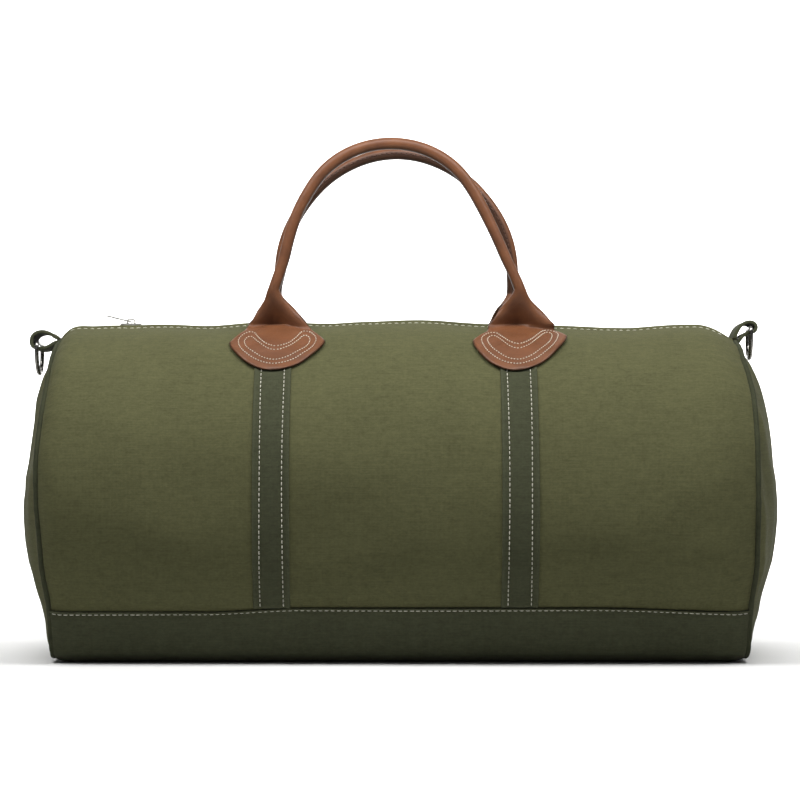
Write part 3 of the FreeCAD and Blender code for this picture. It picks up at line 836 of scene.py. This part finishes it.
SLIDER_X = -215.0
TOOTH_PITCH = 4.0
TEETH_X = (-240.0, 232.0)
TEETH_D = -1.65  # the height of their middle
TOP_STOP_X = -242.8
TAPE_END = 245.0


def parted(x):
    return 1.8 * smooth((SLIDER_X + 4.0 - x) / 7.0)


def tooth(x, tip, sign, z):
    """One moulded tooth: a rounded block clamped on the tape, with a nub at its tip."""
    half, back = 0.85, 3.1
    y = np.array([-back, -back + 0.35, -1.2, tip - 0.45, tip])
    wide = np.array([0.75, 1.0, 0.92, 1.0, 0.62]) * half
    tall = np.array([0.8, 1.0, 0.8, 0.85, 0.5]) * 1.3
    corner = [(-1, -0.6), (-0.6, -1), (0.6, -1), (1, -0.6), (1, 0.6), (0.6, 1), (-0.6, 1), (-1, 0.6)]
    points = np.array([
        (x + u * w, -sign * v, z + t * h)
        for v, w, h in zip(y, wide, tall) for u, t in corner])
    return points, tube_faces(len(y), len(corner), False), points[:, :2]


def zip_height(x):
    return on_bag(np.array([x]), np.array([0.0]), TEETH_D)[0, 2]


def build_zip(side):
    """One side's tape, teeth and top stop."""
    sign = SIGN[side]
    xs = steps(-TAPE_END, TAPE_END, 4.0)
    ss = sign * np.concatenate([[3.0, 3.4, 4.2, 5.0], steps(6.5, 16, 1.9)])
    tape = canvas(f"{side}_tape", xs, ss, -1.3, TAPE, thickness=0.7, rounding=0.3)
    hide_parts(f"{side}_zip_tape", f"{side}_zip_tape_edge")
    sew(tape)
    shift = 0.0 if side == "front" else TOOTH_PITCH / 2
    parts = []
    for x in np.arange(TEETH_X[0] + shift, TEETH_X[1] + 0.01, TOOTH_PITCH):
        parts.append(tooth(x, 0.7 - parted(x), sign, zip_height(x)))
    teeth = joined(f"{side}_teeth", parts, ZIP_METAL)
    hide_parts(f"{side}_zip_teeth")
    sew(teeth)
    stop = joined(f"{side}_stop", [tooth(TOP_STOP_X, -0.6, sign, zip_height(TOP_STOP_X - 0.2))], ZIP_METAL)
    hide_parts(f"{side}_zip_top_stop")
    sew(stop)


def build_zip_ends():
    for end in ("left", "right"):
        sign = SIGN[end]
        xs = sign * steps(TAPE_END + 1, SEAM_X - 1, 1.5)
        patch = canvas(f"{end}_zip_end_cloth", xs, steps(-8.8, 8.8, 1.1), 0.15, DARK_CANVAS)
        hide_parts(f"{end}_zip_end")
        fix(patch, "bag")


def dress(name, material, bevel_mm=0.0):
    """A CAD node keeps its shape, with a finish and softened edges."""
    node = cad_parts[name]
    node.data.materials.clear()
    node.data.materials.append(material)
    if bevel_mm:
        soften = node.modifiers.new("soft_edges", "BEVEL")
        soften.width, soften.segments, soften.limit_method = bevel_mm * MM, 3, "ANGLE"
        soften.angle_limit = math.radians(35)
    return node


# ---- D-rings and tabs ----

# Each tab hangs a little askew, and its ring a little less: how far the tab is turned about the
# vertical, how far both are tipped to the back, and how far the ring is turned.
ASKEW = {"left": (0.05, 0.06, 0.0), "right": (0.06, 0.06, -0.04)}


def ring_centre(end):
    length, slope = TABS[end]
    a = math.radians(slope)
    return TAB_ROOT[0] + length * math.cos(a), TAB_ROOT[1] + length * math.sin(a)


def arc(u, v, radius, start, end, count):
    """Points on an arc about (u, v)."""
    t = np.linspace(start, end, count)
    return np.stack([u + radius * np.cos(t), v + radius * np.sin(t)], -1)


def build_d_ring(end):
    """A wire bent to a D, its straight bar in the tab's loop."""
    sign = SIGN[end]
    bar_x, bar_z = ring_centre(end)
    half, corner, low = 15.75, 3.75, -8.25
    bar = np.linspace(corner - half, half - corner, 12)
    y, z = np.concatenate([
        np.stack([bar, 0 * bar], -1),
        arc(half - corner, -corner, corner, math.pi / 2, 0, 7)[1:],
        arc(0, low, half, 0, -math.pi, 33),
        arc(corner - half, -corner, corner, math.pi, math.pi / 2, 7)[:-1],
    ]).T
    _, tip, turn = ASKEW[end]
    path = np.stack([sign * (bar_x - y * turn), y, bar_z + z - 0.5 * y * tip], -1)
    ring = tube(f"{end}_ring_wire", path, 1.72, RING_METAL, 18, closed=True)
    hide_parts(f"{end}_d_ring")
    fix(ring, f"ring_{end}")


# The folded strip's middle line seen from the front, from its upper end in the seam round the
# ring's bar to its lower end, as (outward, up) from the bar.
TAB_LOOP = {
    "left": [(-16.8, 2.4), (-13.5, 3.6), (-10.5, 6.3), (-5.5, 8.0), (-1.2, 7.7), (2.5, 5.7), (4.2, 1.8),
             (3.5, -2.7), (0.2, -4.1), (-4.5, -4.3), (-9.0, -2.8), (-13.0, 0.0), (-16.8, 1.0)],
    "right": [(-13.0, -9.0), (-11.6, -4.4), (-8.9, 0.4), (-5.0, 3.2), (-0.9, 3.8), (2.3, 2.3), (3.1, -0.6),
              (1.8, -3.1), (-0.8, -3.6), (-4.2, -4.2), (-7.2, -6.4), (-9.4, -9.2), (-10.6, -11.0)],
}
TAB_LOOSE = 1.05  # both loops are this much larger


def smooth_line(knots, count):
    """A smooth line through points, as count evenly spaced points."""
    knots = np.array(knots, float)
    line = knots
    for _ in range(4):
        quarter, rest = line[:-1] * 0.75 + line[1:] * 0.25, line[:-1] * 0.25 + line[1:] * 0.75
        line = np.concatenate([line[:1], np.stack([quarter, rest], 1).reshape(-1, 2), line[-1:]])
    length = lengths_along(line)
    t = np.linspace(0, length[-1], count)
    return at_lengths(line, length, t), t


def build_tab(end):
    """A strip of canvas folded round the ring's bar, its two ends sewn into the seam."""
    sign = SIGN[end]
    turn, tip, _ = ASKEW[end]
    line, t = smooth_line(np.array(TAB_LOOP[end]) * TAB_LOOSE + ring_centre(end), 90)
    tangent = unit(np.gradient(line, axis=0))
    normal = np.stack([-tangent[:, 1], tangent[:, 0]], -1)
    ys = with_edges(steps(-TAB_W / 2, TAB_W / 2, 1.0), 0.5)
    fall = rounded(ys, 0.5)
    near_edge = TAB_W / 2 - np.abs(ys)
    crown = 0.25 * hill(near_edge, 1.5, 1.2) - 0.25 * hill(near_edge, 3.4, 0.9)

    def placed(p, y):
        x = sign * (p[..., 0] - y * turn)
        return np.stack([x, np.broadcast_to(y, x.shape), p[..., 1] - y * tip], -1)

    def face(offset):
        return placed(line[:, None] + normal[:, None] * offset[:, None], ys)

    outer = face(1.5 - (fall - crown))
    inner = face(-1.0 + np.minimum(fall, 0.4))
    uv = np.stack(np.meshgrid(t, ys, indexing="ij"), -1)
    edge = np.broadcast_to(np.minimum(ys - ys[0], ys[-1] - ys), uv.shape[:2])
    strap = shell(f"{end}_tab_strap", outer, inner, uv, DARK_CANVAS, {"edge_mm": edge})
    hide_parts(f"{end}_ring_tab")
    fix(strap, f"tab_{end}")
    up = np.stack([sign * normal[:, 0], 0 * normal[:, 0], normal[:, 1]], -1)
    seam = slice(12, -14)  # the stitches stop short of the tab's two ends
    rows = [(placed(line + normal * 1.35, y)[seam], up[seam]) for y in (ys[0] + 3.4, ys[-1] - 3.4)]
    thread = stitch_rows(rows, f"{end}_tab_stitching", DARK_THREAD, 3.0, 0.3, seed=9)
    fix(thread, f"tab_{end}")


# ---- Leather handles ----

ARCH_TOP_Z = 402.9
TOP_R = 77.7
TOP_HALF = math.radians(51.7)
SIDE_R = 156.3
NECK_Z = 288.0
ROLL_R = 4.7
HANDLE_T = 1.75  # the thickness of the modelled leather
PATCH_HALF_W = 38.8
PATCH_TIP_S = 64.0  # the fan is widest here
PATCH_END_S = 101.5
CREASE_S = 40.0


def arch_line(count):
    """The handle's centre line from the right foot over the top to the left foot, as (x, z)."""
    top_z = ARCH_TOP_Z - TOP_R
    centre_x = (TOP_R - SIDE_R) * math.sin(TOP_HALF)
    centre_z = top_z + (TOP_R - SIDE_R) * math.cos(TOP_HALF)
    foot = math.acos((NECK_Z - centre_z) / SIDE_R)
    side = [(centre_x + SIDE_R * math.sin(a), centre_z + SIDE_R * math.cos(a))
            for a in np.linspace(foot, TOP_HALF, 60)]
    crown = [(TOP_R * math.sin(a), top_z + TOP_R * math.cos(a)) for a in np.linspace(TOP_HALF, 0, 60)]
    half = np.array(side + crown[1:])
    line = np.concatenate([half, half[::-1][1:] * [-1, 1]])
    length = lengths_along(line)
    return at_lengths(line, length, np.linspace(0, length[-1], count))


def leaning(side, x, z):
    """The soft arches lean to the left. The front one is squeezed at mid height, the back one spread."""
    rise = np.clip((z - NECK_Z) / (ARCH_TOP_Z - NECK_Z), 0, 1)
    foot = smooth((z - 260) / 26)
    if side == "front":
        spread = 1 - 0.05 * np.sin(math.pi * rise ** 0.8) + 0.026 * (1 - smooth(rise / 0.25))
        return x * spread - 2.5 * foot - 4.5 * smooth(rise * 1.7)
    low = 1 - smooth(rise / 0.2)
    spread = 1 + 0.085 * np.sin(math.pi * rise ** 1.3) ** 0.8 + 0.024 * low
    return x * spread - 3.0 * foot + 0.3 * smooth(rise) - 1.7 * foot * low


def patch_half_width(s):
    """Half the fan's width at distance s from the zip, with its two tips rounded."""
    t = np.clip((s - PATCH_TIP_S) / (PATCH_END_S - PATCH_TIP_S), 0, 1)
    below = PATCH_HALF_W * (1 - t ** 1.11) ** 0.476
    up = np.clip((PATCH_TIP_S - s) / (PATCH_TIP_S - CREASE_S), 0, 1)
    above = PATCH_HALF_W - 17.5 * up
    rounding = 1.5 * hill(s, PATCH_TIP_S, 5.0)
    return np.where(s > PATCH_TIP_S, below, above) - rounding


def turned(end, x, s):
    """A point of a fan, x from its middle, as (x, s) on the bag."""
    centre, askew, pulled = PATCHES[end]
    return centre + x + 0.3 * askew * (s - PATCH_TIP_S), s + askew * x - pulled * hill(s, PATCH_TIP_S, 14.0)


def patch_rows(end, sign, across):
    """Rows of the fan's outer face, from its lower edge up to where it leaves the canvas: at the
    crease in the middle, and sooner toward its sides."""
    leaves = CREASE_S + 9.0 * smooth((np.abs(across) - 0.25) / 0.65)
    level = PATCH_END_S - (PATCH_END_S - leaves)[None, :] * np.linspace(0.0, 1.0, 40)[:, None] ** 1.35
    level[0] = PATCH_END_S - 0.02
    half = patch_half_width(level)
    x = half * across
    edge = half * (1 - np.abs(across))
    low = np.minimum(edge, np.clip((PATCH_END_S - level) * 0.9, 0, 50))
    t = np.clip(1 - low / 1.2, 0, 1)
    top = leather_height(x, level, sign) - 0.9 * (1 - np.sqrt(1 - t * t)) + 0.25 * hill(low, 2.2, 1.5)
    place_x, place_s = turned(end, x, level)
    return on_bag(place_x, sign * place_s, top), low


def leather_height(x, s, sign):
    """How high the fan's outer face lies over the canvas."""
    return PATCH_D + LEATHER_T + 0.35 * soft_noise(x / 22, s / 22, 41 + sign) + 0.6 * smooth((60 - s) / 20)


NECKS = {"left": (1.03, 0.22), "right": (1.14, -0.2)}  # how wide, and where the hollow is


def neck_rows(foot_x, across, wide, hollow):
    """Rows from the crease up to the roll, for a front handle's foot. The sheet narrows and closes
    round the roll, and its middle is pushed in just above the crease, under a forward-leaning face."""
    levels = np.array([262.0, 263.5, 265.5, 268.0, 271.0, 274.0, 277.0, 280.0, 283.0, 285.5, 288.0])
    half = np.interp(levels, [262, 264.6, 270.6, 275, 280.3, 284, 288],
                     [21.2, 19, 15.6, 12.6, 8.2, 6.2, ROLL_R])
    closed = np.interp(levels, [262, 268, 275, 282, 288], [0.55, 0.85, 1.5, 2.4, math.pi])
    half = half * (1 + (wide - 1) * smooth((288 - levels) / 10))
    pushed = np.interp(levels, [262, 266, 272, 279, 285, 288], [13.2, 10.8, 6.6, 2.6, 0.5, 0.0])
    rows = []
    for z, a, turn, push in zip(levels, half, closed, pushed):
        r = a / math.sin(turn) if turn < math.pi / 2 else a
        angle = turn * across
        x = r * np.sin(angle)
        y = -HANDLE_Y - ROLL_R + r * (1 - np.cos(angle)) * np.interp(z, [262, 275, 288], [0.3, 0.75, 1.0])
        y = y + push * hill(x, hollow * a, 0.72 * a)
        fade = smooth((288 - z) / 12)
        rows.append(np.stack([foot_x + x - 1.2 * fade, y, np.full_like(x, z)], -1))
    return np.array(rows)


def build_handle(side):
    """One leather piece: both fans, both necks and the rolled handle, seam at the back of the roll."""
    sign = SIGN[side]
    across = np.linspace(-1, 1, 45)
    across = np.sign(across) * np.abs(across) ** 0.92
    arch = arch_line(170)
    foot_x = arch[0, 0]
    legs = []
    for end in ("right", "left"):
        mirror = SIGN[end]
        patch, low = patch_rows(end, sign, across * mirror)
        neck = neck_rows(foot_x, across, *NECKS[end])
        neck[..., 0] *= mirror
        neck[..., 1] *= sign
        neck[..., 0] = leaning(side, neck[..., 0], neck[..., 2])
        reach = np.linalg.norm(neck[0] - patch[-1], axis=-1)[:, None]
        into, rise = unit(patch[-1] - patch[-2]) * reach * 1.1, unit(neck[1] - neck[0]) * reach
        bend = []
        for t in np.linspace(0, 1, 10)[1:-1]:
            h = (2 * t**3 - 3 * t**2 + 1, t**3 - 2 * t**2 + t, -2 * t**3 + 3 * t**2, t**3 - t**2)
            bend.append(h[0] * patch[-1] + h[1] * into + h[2] * neck[0] + h[3] * rise)
        leg = np.concatenate([patch, np.array(bend), neck])
        side_edge = np.abs(1 - np.abs(across)) * 22.0
        legs.append((leg, np.concatenate([low, np.tile(side_edge, (len(leg) - len(low), 1))])))
    tangent = unit(np.gradient(arch, axis=0))
    roll = []
    for (x, z), (tx, tz) in zip(arch[1:-1], tangent[1:-1]):
        turn = math.pi * across * 0.998
        out = np.array([tz, 0, -tx])
        ring = np.array([x, -HANDLE_Y, z]) + ROLL_R * (
            np.sin(turn)[:, None] * out + np.cos(turn)[:, None] * np.array([0, -1.0, 0]))
        ring[:, 0] = leaning(side, ring[:, 0], ring[:, 2])
        ring[:, 1] *= sign
        roll.append(ring)
    (right, right_edge), (left, left_edge) = legs
    roll_edge = np.tile(np.abs(1 - np.abs(across)) * 15.0, (len(roll), 1))
    outer = np.concatenate([right, np.array(roll), left[::-1]])
    edge = np.concatenate([right_edge, roll_edge, left_edge[::-1]])
    # painted shade: darkest where the roll faces down and toward the other handle, none on its front and top
    shaded_side = smooth((np.cos(math.pi * across + math.radians(125)) + 0.1) / 0.8)
    roll_shade = np.zeros(outer.shape[:2])
    roll_shade[len(right):-len(left)] = shaded_side
    normal = unit(np.cross(np.gradient(outer, axis=1), np.gradient(outer, axis=0)))
    if normal[len(normal) // 2, len(across) // 2, 1] * sign > 0:
        normal = -normal
    inner = outer - normal * HANDLE_T
    length = lengths_along(outer[:, len(across) // 2])
    uv = np.stack(np.broadcast_arrays(across[None, :] * 18.0, length[:, None]), -1)
    marks = {"edge_mm": edge, "roll_shade": roll_shade}
    handle = shell(f"{side}_handle", outer, inner, uv, LEATHER, marks)
    names = [f"{side}_{end}_{part}" for end in ("left", "right") for part in ("patch", "neck")]
    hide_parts(f"{side}_handle_tube", f"{side}_handle_core", *names)
    hang(handle)


def hang(obj):
    """obj's placement is baked into its points."""
    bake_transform(obj)


# Half of each smile-shaped row of stitches, from the dip at its top round the tip to the bottom,
# as (x from the fan's middle, s).
OUTER_SMILE = [(0, 73.5), (8.5, 69.5), (14, 61.5), (18.8, 52), (24.5, 52), (29.2, 59), (29.6, 67),
               (26.5, 76), (21, 83), (14, 89.5), (7, 93.5), (0, 95)]
INNER_SMILE = [(0, 77.8), (8, 74.5), (14.5, 67), (20, 58.5), (23.6, 59.5), (25.2, 65.5), (22.5, 74),
               (15.5, 81.5), (8, 87.5), (0, 90)]


def smooth_loop(half_points):
    """A closed smooth line through half a set of points and their mirror image."""
    half = np.array(half_points, float)
    knots = np.concatenate([half, half[::-1][1:-1] * [-1, 1]])
    before, after, beyond = np.roll(knots, 1, 0), np.roll(knots, -1, 0), np.roll(knots, -2, 0)
    t = np.linspace(0, 1, 12, endpoint=False)[None, :, None]
    a, b, c, d = (k[:, None] for k in (before, knots, after, beyond))
    line = 0.5 * (2 * b + (c - a) * t + (2 * a - 5 * b + 4 * c - d) * t**2 + (3 * b - a - 3 * c + d) * t**3)
    line = line.reshape(-1, 2)
    return np.concatenate([line, line[:1]])


def build_patch_stitching(side):
    sign = SIGN[side]
    rows = []
    for end in PATCHES:
        for loop in (OUTER_SMILE, INNER_SMILE):
            outline = smooth_loop(loop)
            length = lengths_along(outline)
            x, s = at_lengths(outline, length, np.arange(0, length[-1], 0.7)).T
            height = leather_height(x, s, sign)
            x, s = turned(end, x, s)
            rows.append(line_on_bag(x, sign * s, height - 0.05))
    thread = stitch_rows(rows, f"{side}_patch_stitching", THREAD, 2.4, 0.4, fill=0.54, seed=7)
    hang(thread)


def build_seam_stitching(side):
    """The row that closes the roll, along its inner side."""
    sign = SIGN[side]
    arch = arch_line(260)[8:-8]
    x = leaning(side, arch[:, 0], arch[:, 1])
    points = np.stack([x, np.full(len(x), -sign * (HANDLE_Y - ROLL_R)), arch[:, 1]], -1)
    normal = np.tile([0, 1.0 * sign, 0], (len(arch), 1))
    thread = stitch_rows([(points, normal)], f"{side}_handle_stitching", BROWN_THREAD, 4.0, 0.4, seed=8)
    hang(thread)


# ---- Scene ----

LENS, SENSOR = 115.9, 36.0
CAMERA_AT = (0.0, -2.06, 0.202)  # metres, looking level along y


def build_stage():
    """A paper floor that curves up into a backdrop."""
    n = Nodes("studio_paper", Specular_IOR_Level=0.1)
    where = n.add("TexCoord", out=3)
    tone = n.mix(n.noise(where, 3.0, 2.0), tint(224, 224, 223), tint(230, 230, 229))
    paper = n.finish(tone, n.remap(n.noise(where, 60.0), 0.3, 0.7, 0.85, 0.95))
    sweep_y, sweep_r = 1200.0, 3500.0
    sweep = [(-6000.0, 0.0), (-2000.0, 0.0), (0.0, 0.0), (sweep_y, 0.0)]
    for a in np.linspace(0, math.pi / 2, 60)[1:]:
        sweep.append((sweep_y + sweep_r * math.sin(a), sweep_r * (1 - math.cos(a))))
    sweep.append((sweep_y + sweep_r, 7000.0))
    points = np.array([(x, y, z) for y, z in sweep for x in (-7000.0, 7000.0)])
    floor = make_object("studio_floor", points, grid_faces(len(sweep), 2), None, None, paper)


def add_light(name, size, power, place, aim, spread=180):
    lamp = bpy.data.lights.new(name, "AREA")
    lamp.shape, lamp.size, lamp.size_y = "RECTANGLE", size[0], size[1]
    lamp.energy, lamp.spread = power, math.radians(spread)
    obj = bpy.data.objects.new(name, lamp)
    obj.location = place
    obj.rotation_euler = (Vector(aim) - Vector(place)).to_track_quat("-Z", "Y").to_euler()
    bpy.context.scene.collection.objects.link(obj)


def build_lights():
    add_light("top_softbox", (1.5, 0.2), 12.6, (0.0, -0.32, 0.75), (0, -0.04, 0.2))
    add_light("backdrop_light", (4.0, 1.2), 440.0, (0.0, 0.9, 2.4), (0, 1.9, 1.95))
    add_light("front_fill", (2.0, 1.0), 1.0, (0.6, -2.8, 1.0), (0, 0, 0.15))
    add_light("floor_light", (0.7, 0.2), 1.8, (0, -0.86, 1.2), (0, -0.86, 0), spread=46)
    world = bpy.data.worlds.new("studio")
    world.use_nodes = True
    color, strength = world.node_tree.nodes["Background"].inputs[:2]
    color.default_value, strength.default_value = (0.95, 0.97, 1.0, 1), 0.10
    bpy.context.scene.world = world


def build_camera():
    data = bpy.data.cameras.new("camera")
    data.lens, data.sensor_width = LENS, SENSOR
    data.clip_start, data.clip_end = 0.05, 30.0
    camera = bpy.data.objects.new("camera", data)
    camera.location = CAMERA_AT
    camera.rotation_euler = (math.pi / 2, 0, 0)
    bpy.context.scene.collection.objects.link(camera)
    bpy.context.scene.camera = camera


for side in ("front", "back"):
    build_panel(side)
    build_bands(side)
    build_zip(side)
build_base()
build_zip_ends()
for end in ("left", "right"):
    build_piping(end)
    build_end(end)
    build_d_ring(end)
    build_tab(end)
for side in ("front", "back"):
    build_handle(side)
    build_patch_stitching(side)
    build_seam_stitching(side)
dress("zip_slider", ZIP_METAL, 0.25)
dress("zip_pull", ZIP_METAL, 0.25)
dress("zip_bottom_stop", ZIP_METAL, 0.3)
dress("base_board", BOARD, 1.0)
build_stage()
build_lights()
build_camera()
bpy.context.scene.view_settings.view_transform = "Standard"
